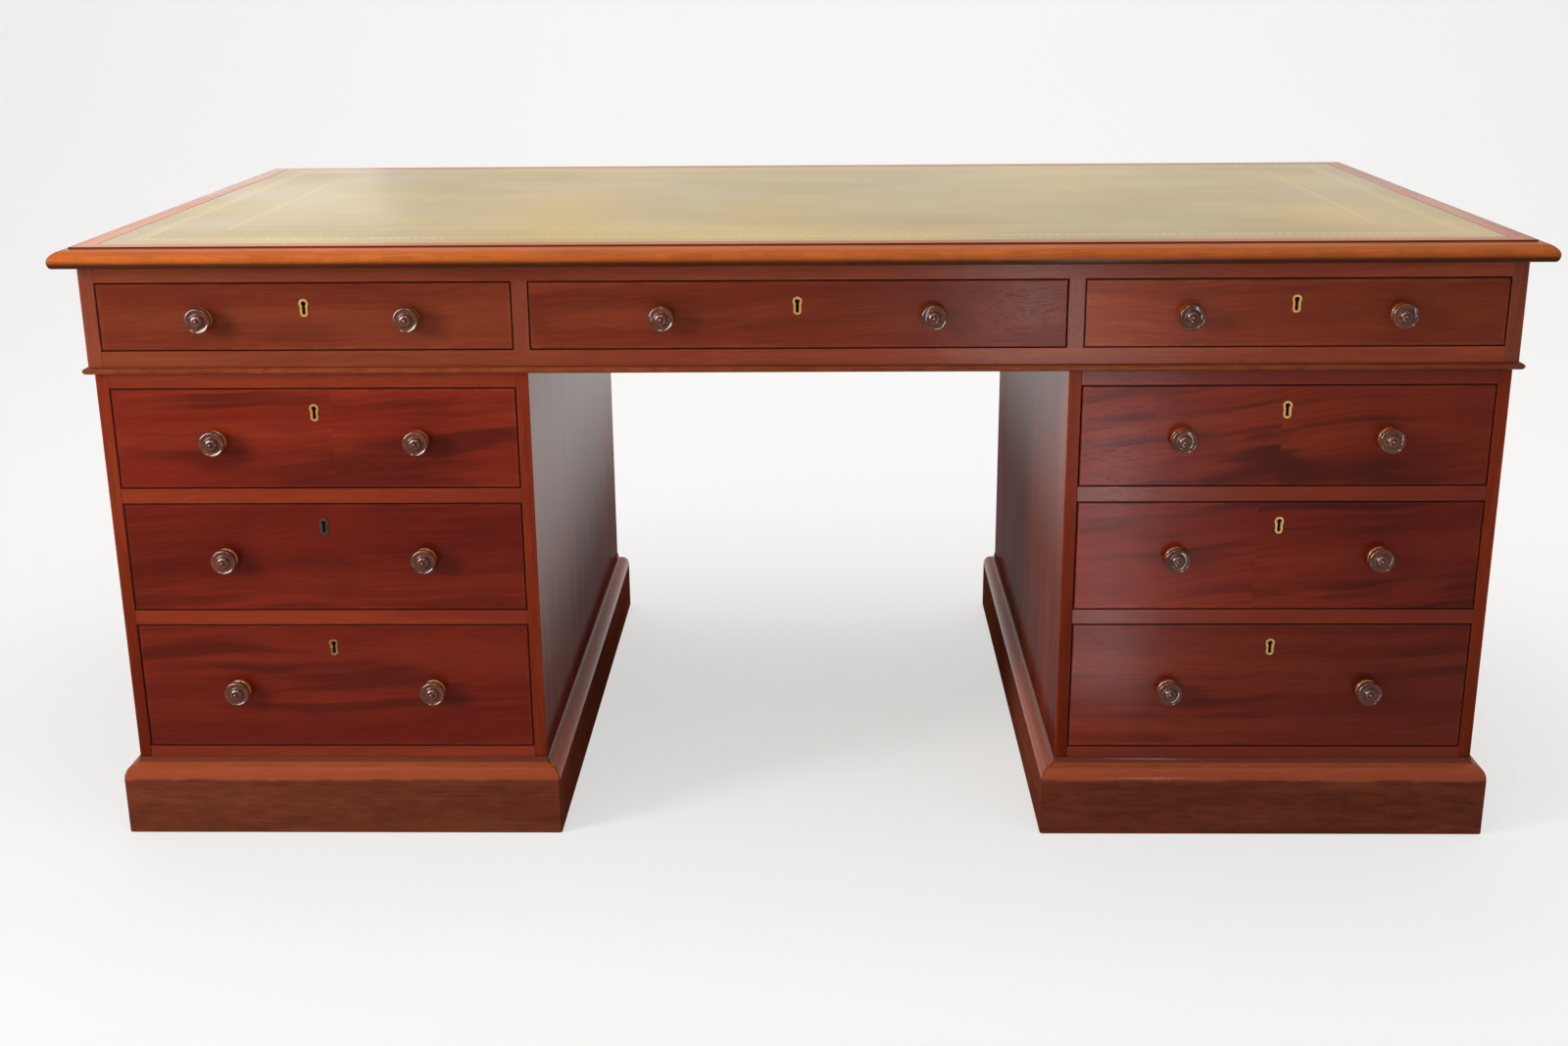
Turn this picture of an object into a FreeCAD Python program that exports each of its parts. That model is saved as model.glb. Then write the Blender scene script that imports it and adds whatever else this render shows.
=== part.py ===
import FreeCAD
import Part
import math
import os

from FreeCAD import Vector

# A mahogany pedestal desk with an inset leather writing surface.
# Three frieze drawers sit under the moulded top, and each pedestal holds three deeper drawers.
# Every drawer slides out towards -Y, and the bolt of its lock slides up into the rail above it.
# X runs to the right, +Y runs to the back, +Z is up, and the origin is on the floor under the middle.
# All lengths are millimetres.

# Overall plan
desk_width = 1830.0
desk_depth = 940.0
kneehole_width = 675.0

# Writing top: a ground panel in a mitred, moulded frame, with a sheet of leather let into it
top_thickness = 24.5
top_overhang = 26.0
edge_band_width = 26.0
edge_moulding_reach = 21.0
edge_nose_height = 8.5
edge_nose_under_reach = 5.0
edge_quirk_depth = 2.0
leather_thickness = 1.5

# Frieze: the shallow case under the top
frieze_end_thickness = 19.0
frieze_back_thickness = 16.0
frieze_partition_thickness = 19.5
frieze_top_rail_height = 20.5
frieze_bottom_rail_height = 29.0
partition_lap = 4.5
bead_height = 9.0
bead_projection = 6.0

# Pedestals
pedestal_inset = 5.0
pedestal_side_thickness = 16.0
pedestal_back_thickness = 14.0
pedestal_board_thickness = 12.0
pedestal_floor_gap = 5.0
rail_height = 19.0
rail_depth = 60.0
base_rail_height = 40.0
base_rail_show = 15.0

# Plinths, planted on the four faces of each pedestal
plinth_projection = 18.5
plinth_board_height = 77.0
plinth_ovolo_rise = 17.0
plinth_ovolo_reach = 12.0
plinth_cove_rise = 9.0
plinth_lip = 1.5

# Case edges and the pieces inside the cases
case_edge_round = 1.2
runner_width = 16.0
stop_width = 40.0
stop_length = 16.0
stop_clearance = 4.0
stop_inset = 70.0
dowel_radius = 4.0
dowel_length = 30.0
dowel_setback = 120.0
dowel_clearance = 0.1

# Drawers
frieze_front_height = 84.4
upper_front_height = 129.8
middle_front_height = 144.0
lower_front_height = 171.0
drawer_back_clearance = 144.0
front_thickness = 22.0
front_recess = 0.5
front_edge_round = 1.6
gap_above_front = 1.2
gap_below_front = 0.8
gap_beside_front = 1.0
lining_thickness = 10.0
lining_drop = 6.0
drawer_back_drop = 12.0
bottom_thickness = 7.0
bottom_lift = 9.0
groove_depth = 5.0

# Lapped dovetails that hold each drawer's sides to its front
tail_lap = 6.0
tail_pitch = 36.0
tail_root_share = 0.52
tail_tip_share = 0.72

# Turned knobs
knob_radius = 16.5
knob_reach = 26.0
knob_spigot_radius = 5.0
knob_spigot_clearance = 0.1
knob_spacing = 258.0
centre_knob_spacing = 335.0
frieze_knob_drop = 2.0
upper_knob_drop = 3.0
middle_knob_drop = 1.5
lower_knob_drop = 5.0

# Locks, with a keyhole lined by a brass escutcheon
keyhole_drop = 25.7
keyhole_eye_radius = 3.6
keyhole_waist_half = 1.9
keyhole_foot_half = 2.0
keyhole_length = 12.5
keyhole_foot_sag = 1.0
escutcheon_wall = 2.4
escutcheon_foot_flare = 0.8
escutcheon_depth = 6.0
escutcheon_proud = 0.4
lock_width = 60.0
lock_height = 48.0
lock_depth = 11.0
lock_keyway_depth = 4.0
key_pin_radius = 1.4
key_pin_length = 9.0
bolt_width = 24.0
bolt_thickness = 6.0
bolt_height = 16.0
bolt_travel = 9.0
bolt_rest_drop = 0.5
bolt_clearance = 0.3
mortise_clearance = 1.0

# How far a cutting shape runs past the face that it cuts
overrun = 5.0

# The weight of a corner that makes a curve round it a quarter of an ellipse
quarter_weight_share = math.cos(math.radians(45))

# Levels, counted up from the floor
plinth_height = plinth_board_height + plinth_ovolo_rise + plinth_cove_rise
gaps_in_height = gap_above_front + gap_below_front
lower_opening_z = plinth_height + base_rail_show
middle_opening_z = lower_opening_z + lower_front_height + gaps_in_height + rail_height
upper_opening_z = middle_opening_z + middle_front_height + gaps_in_height + rail_height
pedestal_top_z = upper_opening_z + upper_front_height + gaps_in_height + rail_height
frieze_opening_z = pedestal_top_z + frieze_bottom_rail_height
frieze_top_z = frieze_opening_z + frieze_front_height + gaps_in_height + frieze_top_rail_height
desk_height = frieze_top_z + top_thickness

# Faces, counted out from the middle
edge_width = edge_moulding_reach + edge_band_width
frieze_half = desk_width / 2 - top_overhang
frieze_front_y = top_overhang - desk_depth / 2
frieze_back_y = -frieze_front_y
frieze_opening_outer = frieze_half - frieze_end_thickness
pedestal_outer = frieze_half - pedestal_inset
pedestal_inner = kneehole_width / 2
partition_inner = pedestal_inner - partition_lap
partition_outer = partition_inner + frieze_partition_thickness
pedestal_front_y = frieze_front_y + pedestal_inset
pedestal_back_y = -pedestal_front_y
opening_outer = pedestal_outer - pedestal_side_thickness
opening_inner = pedestal_inner + pedestal_side_thickness


def block(x0, x1, y0, y1, z0, z1):
    """A rectangular board between two corners, whichever way round they come."""
    corner = Vector(min(x0, x1), min(y0, y1), min(z0, z1))
    return Part.makeBox(abs(x1 - x0), abs(y1 - y0), abs(z1 - z0), corner)


def quarter_edge(start, corner, end):
    """A quarter of an ellipse, which leaves start towards the corner and arrives from the corner."""
    curve = Part.BezierCurve()
    curve.setPoles([start, corner, end])
    curve.setWeight(2, quarter_weight_share)
    return curve.toShape()


def face_of(moves):
    """A flat face. Each move goes straight "to" a point, by an "arc" through one, or "round" a corner."""
    edges = []
    here = moves[-1][-1]
    for kind, *points in moves:
        if kind == "arc":
            edges.append(Part.Arc(here, *points).toShape())
        elif kind == "round":
            edges.append(quarter_edge(here, *points))
        else:
            edges.append(Part.LineSegment(here, *points).toShape())
        here = points[-1]
    return Part.Face(Part.Wire(edges))


def mirrored(shape):
    """The same piece on the other side of the desk's middle."""
    return shape.mirror(Vector(0, 0, 0), Vector(1, 0, 0))


def write(node, solids):
    """Saves a sub-part's solids as one file."""
    pieces = [piece for solid in solids for piece in solid.removeSplitter().Solids]
    shape = pieces[0] if len(pieces) == 1 else Part.makeCompound(pieces)
    shape.exportStep(f"parts/{node}.step")


def mitred_length(outline, half_run, half_across, bottom_z, width):
    """One length of a mitred frame along X, on the -Y side. outline gives points as (inward, up)."""
    outer_y = -half_across
    moves = [
        (kind, *(Vector(-half_run, outer_y + inward, bottom_z + up) for inward, up in points))
        for kind, *points in outline
    ]
    bar = face_of(moves).extrude(Vector(2 * half_run, 0, 0))
    inner_run = half_run - width
    low_z = bottom_z - overrun
    plan = [
        ("to", Vector(-half_run, outer_y, low_z)),
        ("to", Vector(half_run, outer_y, low_z)),
        ("to", Vector(inner_run, outer_y + width, low_z)),
        ("to", Vector(-inner_run, outer_y + width, low_z)),
    ]
    tall = max(points[-1][1] for kind, *points in outline) + 2 * overrun
    return bar.common(face_of(plan).extrude(Vector(0, 0, tall)))


def mitred_frame(outline, half_x, half_y, bottom_z, width):
    """Four mitred lengths round a rectangle centred on the origin: front, right, back and left."""
    lengths = []
    for turn in range(4):
        half_run, half_across = (half_x, half_y) if turn % 2 == 0 else (half_y, half_x)
        length = mitred_length(outline, half_run, half_across, bottom_z, width)
        length.rotate(Vector(0, 0, 0), Vector(0, 0, 1), 90 * turn)
        lengths.append(length)
    return lengths


# Writing top


def top_edge_lengths():
    """The moulded frame of the top: a thumb moulding below a small quirk, then a flat band."""
    quirk_z = top_thickness - edge_quirk_depth
    outline = [
        ("to", (edge_nose_under_reach, 0)),
        ("round", (0, 0), (0, edge_nose_height)),
        ("round", (0, quirk_z), (edge_moulding_reach, quirk_z)),
        ("to", (edge_moulding_reach, top_thickness)),
        ("to", (edge_width, top_thickness)),
        ("to", (edge_width, 0)),
    ]
    return mitred_frame(outline, desk_width / 2, desk_depth / 2, frieze_top_z, edge_width)


def make_top():
    panel_x = desk_width / 2 - edge_width
    panel_y = desk_depth / 2 - edge_width
    seat_z = desk_height - leather_thickness
    write("top_edge_moulding", top_edge_lengths())
    write("top_panel", [block(-panel_x, panel_x, -panel_y, panel_y, frieze_top_z, seat_z)])
    write("writing_leather", [block(-panel_x, panel_x, -panel_y, panel_y, seat_z, desk_height)])


# Dowels that stop the top section sliding on the pedestals


def dowel_places():
    """Centres of the dowels, where a frieze board stands over a pedestal side."""
    outer = (frieze_opening_outer + pedestal_outer) / 2
    inner = (max(partition_inner, pedestal_inner) + min(partition_outer, opening_inner)) / 2
    along = pedestal_back_y - dowel_setback
    return [(x, y) for x in (-outer, -inner, inner, outer) for y in (-along, along)]


def dowels(radius):
    """Upright rods of one radius at every dowel's place, centred on the joint."""
    foot_z = pedestal_top_z - dowel_length / 2
    return [
        Part.makeCylinder(radius, dowel_length, Vector(x, y, foot_z)) for x, y in dowel_places()
    ]


def bored_for_dowels(board):
    """A board with the dowels' holes in it."""
    return board.cut(Part.makeCompound(dowels(dowel_radius + dowel_clearance)))


def rounded_front_edges(board, front_y, radius):
    """A board whose upright front edges are eased."""
    edges = [
        edge
        for edge in board.Edges
        if all(abs(vertex.Y - front_y) < radius for vertex in edge.Vertexes)
        and abs(edge.Vertexes[0].Z - edge.Vertexes[-1].Z) > radius
    ]
    return board.makeFillet(radius, edges)


# Bolt mortises: each rail above a drawer has a pocket for that drawer's bolt


def bolt_centre_y(face_y):
    """The middle of a bolt's thickness, for a drawer whose front is at face_y."""
    return face_y + front_recess + front_thickness - lock_depth / 2


def mortise(centre_x, face_y, rail_z):
    """The pocket that a bolt enters, cut up into a rail whose underside is at rail_z."""
    half_x = bolt_width / 2 + mortise_clearance
    half_y = bolt_thickness / 2 + mortise_clearance
    y = bolt_centre_y(face_y)
    deep = bolt_travel - bolt_rest_drop - gap_above_front + mortise_clearance
    return block(
        centre_x - half_x, centre_x + half_x, y - half_y, y + half_y, rail_z - overrun, rail_z + deep
    )


# Frieze


def frieze_openings():
    """Name, left and right of each drawer opening in the frieze."""
    return [
        ("frieze_left", -frieze_opening_outer, -partition_outer),
        ("frieze_centre", -partition_inner, partition_inner),
        ("frieze_right", partition_outer, frieze_opening_outer),
    ]


def frieze_rail_pair():
    """The front rails above and below the frieze drawers, with the bolts' mortises in the upper one."""
    back_y = frieze_front_y + rail_depth
    upper_z = frieze_top_z - frieze_top_rail_height
    upper = block(
        -frieze_opening_outer, frieze_opening_outer, frieze_front_y, back_y, upper_z, frieze_top_z
    )
    for name, left, right in frieze_openings():
        upper = upper.cut(mortise((left + right) / 2, frieze_front_y, upper_z))
    lower = block(
        -frieze_opening_outer,
        frieze_opening_outer,
        frieze_front_y,
        back_y,
        pedestal_top_z,
        frieze_opening_z,
    )
    return [upper, lower]


def frieze_case():
    """The two ends, the back and the two partitions, which are notched over the front rails."""
    back_inner_y = frieze_back_y - frieze_back_thickness
    end = block(
        frieze_opening_outer, frieze_half, frieze_front_y, frieze_back_y, pedestal_top_z, frieze_top_z
    )
    end = bored_for_dowels(rounded_front_edges(end, frieze_front_y, case_edge_round))
    back = block(
        -frieze_opening_outer,
        frieze_opening_outer,
        back_inner_y,
        frieze_back_y,
        pedestal_top_z,
        frieze_top_z,
    )
    partition = block(
        partition_inner, partition_outer, frieze_front_y, back_inner_y, pedestal_top_z, frieze_top_z
    )
    partition = bored_for_dowels(partition.cut(Part.makeCompound(frieze_rail_pair())))
    return [end, mirrored(end), back, partition, mirrored(partition)]


def bead_lengths():
    """The half-round bead planted round the foot of the frieze."""
    outline = [
        ("to", (bead_projection, 0)),
        ("round", (0, 0), (0, bead_height / 2)),
        ("round", (0, bead_height), (bead_projection, bead_height)),
    ]
    half_x = frieze_half + bead_projection
    half_y = frieze_back_y + bead_projection
    return mitred_frame(outline, half_x, half_y, pedestal_top_z, bead_projection)


def make_frieze():
    write("frieze_case", frieze_case())
    write("frieze_rails", frieze_rail_pair())
    write("frieze_bead", bead_lengths())


# Pedestals, modelled on the right and mirrored to the left


def pedestal_openings():
    """Name, level and front height of each drawer opening, from the bottom up."""
    return [
        ("lower", lower_opening_z, lower_front_height),
        ("middle", middle_opening_z, middle_front_height),
        ("upper", upper_opening_z, upper_front_height),
    ]


def pedestal_case():
    """The outer side, the inner side and the back of one pedestal."""
    sides = []
    for x0, x1 in ((opening_outer, pedestal_outer), (pedestal_inner, opening_inner)):
        side = block(x0, x1, pedestal_front_y, pedestal_back_y, pedestal_floor_gap, pedestal_top_z)
        sides.append(bored_for_dowels(rounded_front_edges(side, pedestal_front_y, case_edge_round)))
    back_inner_y = pedestal_back_y - pedestal_back_thickness
    back = block(
        opening_inner, opening_outer, back_inner_y, pedestal_back_y, pedestal_floor_gap, pedestal_top_z
    )
    return [*sides, back]


def pedestal_rail_set():
    """The base rail, and a rail with a bolt mortise above each drawer."""
    back_y = pedestal_front_y + rail_depth
    base_bottom_z = lower_opening_z - base_rail_height
    rails = [
        block(
            opening_inner, opening_outer, pedestal_front_y, back_y, base_bottom_z, lower_opening_z
        )
    ]
    middle_x = (opening_inner + opening_outer) / 2
    for name, opening_z, front_height in pedestal_openings():
        rail_z = opening_z + front_height + gaps_in_height
        rail = block(
            opening_inner, opening_outer, pedestal_front_y, back_y, rail_z, rail_z + rail_height
        )
        rails.append(rail.cut(mortise(middle_x, pedestal_front_y, rail_z)))
    return rails


def pedestal_boards():
    """The plain boards that close the top and the bottom of one pedestal."""
    front_y = pedestal_front_y + rail_depth
    back_y = pedestal_back_y - pedestal_back_thickness
    bottom_z = lower_opening_z - rail_height - pedestal_board_thickness
    return [
        block(opening_inner, opening_outer, front_y, back_y, z, z + pedestal_board_thickness)
        for z in (bottom_z, pedestal_top_z - pedestal_board_thickness)
    ]


def plinth_lengths():
    """Four mitred skirting lengths with an ovolo and a cove run along their top edge."""
    ovolo_z = plinth_board_height + plinth_ovolo_rise
    cove_reach = plinth_projection - plinth_lip
    outline = [
        ("to", (0, 0)),
        ("to", (0, plinth_board_height)),
        ("round", (0, ovolo_z), (plinth_ovolo_reach, ovolo_z)),
        ("round", (cove_reach, ovolo_z), (cove_reach, plinth_height)),
        ("to", (plinth_projection, plinth_height)),
        ("to", (plinth_projection, 0)),
    ]
    half_x = (pedestal_outer - pedestal_inner) / 2 + plinth_projection
    half_y = pedestal_back_y + plinth_projection
    lengths = mitred_frame(outline, half_x, half_y, 0, plinth_projection)
    for length in lengths:
        length.translate(Vector((pedestal_outer + pedestal_inner) / 2, 0, 0))
    return lengths


def make_pedestals():
    case, plinth = pedestal_case(), plinth_lengths()
    rails, boards = pedestal_rail_set(), pedestal_boards()
    write("pedestal_right_case", case)
    write("pedestal_left_case", [mirrored(piece) for piece in case])
    write("pedestal_right_plinth", plinth)
    write("pedestal_left_plinth", [mirrored(piece) for piece in plinth])
    write("pedestal_rails", rails + [mirrored(piece) for piece in rails])
    write("pedestal_boards", boards + [mirrored(piece) for piece in boards])
    write("locating_dowels", dowels(dowel_radius))


# Drawers


def all_drawers():
    """Every drawer: its name, opening, face and front height, and where its knobs go."""
    found = []
    for name, left, right in frieze_openings():
        spacing = centre_knob_spacing if name == "frieze_centre" else knob_spacing
        found.append(
            (
                name,
                left,
                right,
                frieze_front_y,
                frieze_opening_z,
                frieze_front_height,
                spacing,
                frieze_knob_drop,
            )
        )
    drops = {"lower": lower_knob_drop, "middle": middle_knob_drop, "upper": upper_knob_drop}
    for row, opening_z, front_height in pedestal_openings():
        for side, left, right in (
            ("left", -opening_outer, -opening_inner),
            ("right", opening_inner, opening_outer),
        ):
            found.append(
                (
                    f"{side}_{row}",
                    left,
                    right,
                    pedestal_front_y,
                    opening_z,
                    front_height,
                    knob_spacing,
                    drops[row],
                )
            )
    return found


def case_inner_back(case_y):
    """The inner face of the back of the case whose front is at case_y."""
    if case_y == frieze_front_y:
        return frieze_back_y - frieze_back_thickness
    return pedestal_back_y - pedestal_back_thickness


def keyhole(eye_radius, waist_half, foot_half, foot_sag, centre_x, eye_z, y0, y1):
    """A keyhole-shaped prism from y0 to y1: a round eye over a foot that widens slightly."""
    junction_z = eye_z - math.sqrt(eye_radius**2 - waist_half**2)
    foot_z = eye_z - keyhole_length

    def at(x, z):
        return Vector(centre_x + x, y0, z)

    outline = [
        ("to", at(foot_half, foot_z)),
        ("arc", at(0, foot_z - foot_sag), at(-foot_half, foot_z)),
        ("to", at(-waist_half, junction_z)),
        ("arc", at(0, eye_z + eye_radius), at(waist_half, junction_z)),
    ]
    return face_of(outline).extrude(Vector(0, y1 - y0, 0))


def keyhole_cut(centre_x, eye_z, y0, y1):
    """The hole that the key passes through."""
    return keyhole(
        keyhole_eye_radius,
        keyhole_waist_half,
        keyhole_foot_half,
        keyhole_foot_sag,
        centre_x,
        eye_z,
        y0,
        y1,
    )


def escutcheon_plug(centre_x, eye_z, y0, y1):
    """The outside of the escutcheon, before its keyhole is cut."""
    return keyhole(
        keyhole_eye_radius + escutcheon_wall,
        keyhole_waist_half + escutcheon_wall,
        keyhole_foot_half + escutcheon_wall + escutcheon_foot_flare,
        keyhole_foot_sag + escutcheon_wall,
        centre_x,
        eye_z,
        y0,
        y1,
    )


def dovetails(side_x0, side_x1, joint_y, low_z, high_z):
    """The tails on one drawer side: prisms that widen towards the front, evenly spaced."""
    count = max(2, round((high_z - low_z) / tail_pitch))
    pitch = (high_z - low_z) / count
    tip_y = joint_y - (front_thickness - tail_lap)
    tails = []
    for number in range(count):
        middle_z = low_z + pitch * (number + 0.5)
        root, tip = pitch * tail_root_share / 2, pitch * tail_tip_share / 2
        outline = [
            ("to", Vector(side_x0, joint_y, middle_z - root)),
            ("to", Vector(side_x0, joint_y, middle_z + root)),
            ("to", Vector(side_x0, tip_y, middle_z + tip)),
            ("to", Vector(side_x0, tip_y, middle_z - tip)),
        ]
        tails.append(face_of(outline).extrude(Vector(side_x1 - side_x0, 0, 0)))
    return tails


def knob(centre_x, face_y, centre_z):
    """One turned knob, from its spigot through the drawer front to the button on its face."""
    outline_shares = [
        ("to", (0.78, 0)),
        ("round", (0.86, 0), (0.86, 0.06)),
        ("round", (0.86, 0.12), (0.78, 0.12)),
        ("to", (0.72, 0.12)),
        ("round", (0.52, 0.12), (0.52, 0.27)),
        ("round", (0.52, 0.42), (0.74, 0.42)),
        ("to", (0.88, 0.43)),
        ("round", (1.00, 0.43), (1.00, 0.55)),
        ("round", (1.00, 0.69), (0.86, 0.69)),
        ("to", (0.74, 0.66)),
        ("round", (0.62, 0.66), (0.62, 0.75)),
        ("round", (0.62, 0.82), (0.52, 0.82)),
        ("round", (0.42, 0.82), (0.42, 0.77)),
        ("round", (0.42, 0.74), (0.34, 0.74)),
        ("round", (0.24, 0.74), (0.24, 0.82)),
        ("round", (0.24, 1), (0, 1)),
    ]

    def at(radius, reach):
        return Vector(centre_x + radius, face_y - reach, centre_z)

    moves = [
        (kind, *(at(knob_radius * out, knob_reach * along) for out, along in points))
        for kind, *points in outline_shares
    ]
    moves += [
        ("to", at(0, -front_thickness)),
        ("to", at(knob_spigot_radius, -front_thickness)),
        ("to", at(knob_spigot_radius, 0)),
    ]
    half = face_of(moves)
    return half.revolve(Vector(centre_x, face_y, centre_z), Vector(0, 1, 0), 360)


def make_drawer(name, left, right, case_y, opening_z, front_height, spacing, drop):
    """Writes the five sub-parts of one drawer: front, box, knobs, lock and bolt."""
    face_y = case_y + front_recess
    inner_y = face_y + front_thickness
    back_y = case_inner_back(case_y) - drawer_back_clearance
    x0, x1 = left + gap_beside_front, right - gap_beside_front
    front_z = opening_z + gap_below_front
    top_z = front_z + front_height
    middle_x = (left + right) / 2

    # The box: two sides with tails and a groove, a back, and a bottom that slides in from behind
    lining_top_z = top_z - lining_drop
    bottom_z = opening_z + bottom_lift
    bottom_top_z = bottom_z + bottom_thickness
    bottom = block(
        x0 + lining_thickness - groove_depth,
        x1 - lining_thickness + groove_depth,
        inner_y - groove_depth,
        back_y,
        bottom_z,
        bottom_top_z,
    )
    tails = []
    sides = []
    for side_x0, side_x1 in ((x0, x0 + lining_thickness), (x1 - lining_thickness, x1)):
        side_tails = dovetails(side_x0, side_x1, inner_y, bottom_top_z, lining_top_z)
        side = block(side_x0, side_x1, inner_y, back_y, opening_z, lining_top_z)
        sides.append(side.fuse(side_tails).removeSplitter().cut(bottom))
        tails += side_tails
    back = block(
        x0 + lining_thickness,
        x1 - lining_thickness,
        back_y - lining_thickness,
        back_y,
        bottom_top_z,
        lining_top_z - drawer_back_drop,
    )
    write(f"{name}_drawer_box", [*sides, back, bottom])

    # The lock, let into the back of the front, and the escutcheon that lines its keyhole
    eye_z = top_z - keyhole_drop
    lock_y = inner_y - lock_depth
    bolt_y = bolt_centre_y(case_y)
    lock_space = block(
        middle_x - lock_width / 2, middle_x + lock_width / 2, lock_y, inner_y, top_z - lock_height, top_z
    )
    bolt_top_z = top_z - bolt_rest_drop
    bolt_bottom_z = bolt_top_z - bolt_height
    slot = block(
        middle_x - bolt_width / 2 - bolt_clearance,
        middle_x + bolt_width / 2 + bolt_clearance,
        bolt_y - bolt_thickness / 2 - bolt_clearance,
        bolt_y + bolt_thickness / 2 + bolt_clearance,
        bolt_bottom_z - bolt_clearance,
        top_z + overrun,
    )
    keyway = keyhole_cut(middle_x, eye_z, lock_y - overrun, lock_y + lock_keyway_depth)
    pin_y = lock_y + lock_keyway_depth
    pin = Part.makeCylinder(
        key_pin_radius, key_pin_length, Vector(middle_x, pin_y, eye_z), Vector(0, -1, 0)
    )
    lock = lock_space.cut(slot).cut(keyway).fuse(pin)
    escutcheon = escutcheon_plug(
        middle_x, eye_z, face_y - escutcheon_proud, face_y + escutcheon_depth
    ).cut(keyhole_cut(middle_x, eye_z, face_y - overrun, lock_y))
    write(f"{name}_drawer_lock", [lock, escutcheon])
    write(
        f"{name}_drawer_bolt",
        [
            block(
                middle_x - bolt_width / 2,
                middle_x + bolt_width / 2,
                bolt_y - bolt_thickness / 2,
                bolt_y + bolt_thickness / 2,
                bolt_bottom_z,
                bolt_top_z,
            )
        ],
    )

    # The front, with eased edges, cut for the sides, the bottom, the lock and the knobs' spigots
    knob_z = front_z + front_height / 2 - drop
    knob_places = (middle_x - spacing / 2, middle_x + spacing / 2)
    front = block(x0, x1, face_y, inner_y, front_z, top_z)
    face_edges = [
        edge
        for edge in front.Edges
        if all(abs(vertex.Y - face_y) < front_edge_round for vertex in edge.Vertexes)
    ]
    front = front.makeFillet(front_edge_round, face_edges)
    holes = [
        Part.makeCylinder(
            knob_spigot_radius + knob_spigot_clearance,
            front_thickness + 2 * overrun,
            Vector(x, face_y - overrun, knob_z),
            Vector(0, 1, 0),
        )
        for x in knob_places
    ]
    seat = escutcheon_plug(middle_x, eye_z, face_y - overrun, face_y + escutcheon_depth)
    passage = keyhole_cut(middle_x, eye_z, face_y, lock_y + lock_keyway_depth)
    front = front.cut(Part.makeCompound([*tails, *holes]))
    front = front.cut(seat).cut(passage).cut(lock_space).cut(bottom)
    write(f"{name}_drawer_front", [front])
    write(f"{name}_drawer_knobs", [knob(x, face_y, knob_z) for x in knob_places])


# Runners, kickers and stops inside the cases


def runner_strips():
    """A strip under each side of every drawer, and kickers that keep the frieze drawers level."""
    strips = []
    for name, left, right, case_y, opening_z, front_height, spacing, drop in all_drawers():
        y0, y1 = case_y + rail_depth, case_inner_back(case_y)
        spans = [(opening_z - rail_height, opening_z)]
        if case_y == frieze_front_y:
            spans.append((frieze_top_z - frieze_top_rail_height, frieze_top_z))
        for z0, z1 in spans:
            strips.append(block(left, left + runner_width, y0, y1, z0, z1))
            strips.append(block(right - runner_width, right, y0, y1, z0, z1))
    return strips


def stop_blocks():
    """Two small blocks on the rail under each drawer, against the back of its front."""
    stops = []
    stop_height = bottom_lift - stop_clearance
    for name, left, right, case_y, opening_z, front_height, spacing, drop in all_drawers():
        y = case_y + front_recess + front_thickness
        for x in (left + stop_inset, right - stop_inset - stop_width):
            stops.append(
                block(x, x + stop_width, y, y + stop_length, opening_z, opening_z + stop_height)
            )
    return stops


os.makedirs("parts", exist_ok=True)
make_top()
make_frieze()
make_pedestals()
for drawer in all_drawers():
    make_drawer(*drawer)
write("drawer_runners", runner_strips())
write("drawer_stops", stop_blocks())
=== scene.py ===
import math

import bmesh
import bpy
from mathutils import Euler, Matrix, Vector


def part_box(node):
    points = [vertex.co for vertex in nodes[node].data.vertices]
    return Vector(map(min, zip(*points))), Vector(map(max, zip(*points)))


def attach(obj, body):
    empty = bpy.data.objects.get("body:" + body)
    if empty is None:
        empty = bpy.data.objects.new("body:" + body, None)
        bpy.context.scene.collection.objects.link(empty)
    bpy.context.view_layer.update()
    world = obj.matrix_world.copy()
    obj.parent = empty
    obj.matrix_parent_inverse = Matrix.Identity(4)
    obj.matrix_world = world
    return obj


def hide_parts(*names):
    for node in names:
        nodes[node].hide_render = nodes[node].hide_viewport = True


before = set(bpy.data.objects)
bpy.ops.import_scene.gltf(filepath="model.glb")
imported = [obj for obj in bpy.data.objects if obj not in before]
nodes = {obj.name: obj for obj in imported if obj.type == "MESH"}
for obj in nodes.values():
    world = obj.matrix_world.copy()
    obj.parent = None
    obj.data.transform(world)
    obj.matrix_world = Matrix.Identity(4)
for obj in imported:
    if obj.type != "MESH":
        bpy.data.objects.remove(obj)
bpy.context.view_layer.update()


# Plinths
# Each pedestal stands in four mitred lengths of mahogany skirting, planted on the case, with eased corners.
# A polished ovolo and a small cove are run along the top edge, painted lighter and redder than the flat
# below, partly as painted light on their upturned faces. The flat below is browner, dull and scuffed.


def place(tree, kind, feeds=None, **settings):
    """Adds a shader node, sets its options, and feeds its inputs with values, colours or other sockets."""
    made = tree.nodes.new(kind)
    for option, choice in settings.items():
        setattr(made, option, choice)
    for socket, feed in (feeds or {}).items():
        if isinstance(feed, bpy.types.NodeSocket):
            tree.links.new(feed, made.inputs[socket])
        elif made.inputs[socket].type == "RGBA":
            made.inputs[socket].default_value = (*feed, 1)
        else:
            made.inputs[socket].default_value = feed
    return made


def reckon(tree, operation, *feeds):
    """One step of arithmetic on values."""
    return place(tree, "ShaderNodeMath", dict(enumerate(feeds)), operation=operation).outputs[0]


def reckon_vector(tree, operation, *feeds):
    """One step of arithmetic on vectors."""
    made = place(tree, "ShaderNodeVectorMath", dict(enumerate(feeds)), operation=operation)
    return made.outputs[0]


def apart(tree, vector):
    """The X, Y and Z of a vector."""
    return place(tree, "ShaderNodeSeparateXYZ", {0: vector}).outputs


def together(tree, *values):
    """A vector of three values."""
    return place(tree, "ShaderNodeCombineXYZ", dict(enumerate(values))).outputs[0]


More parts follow.
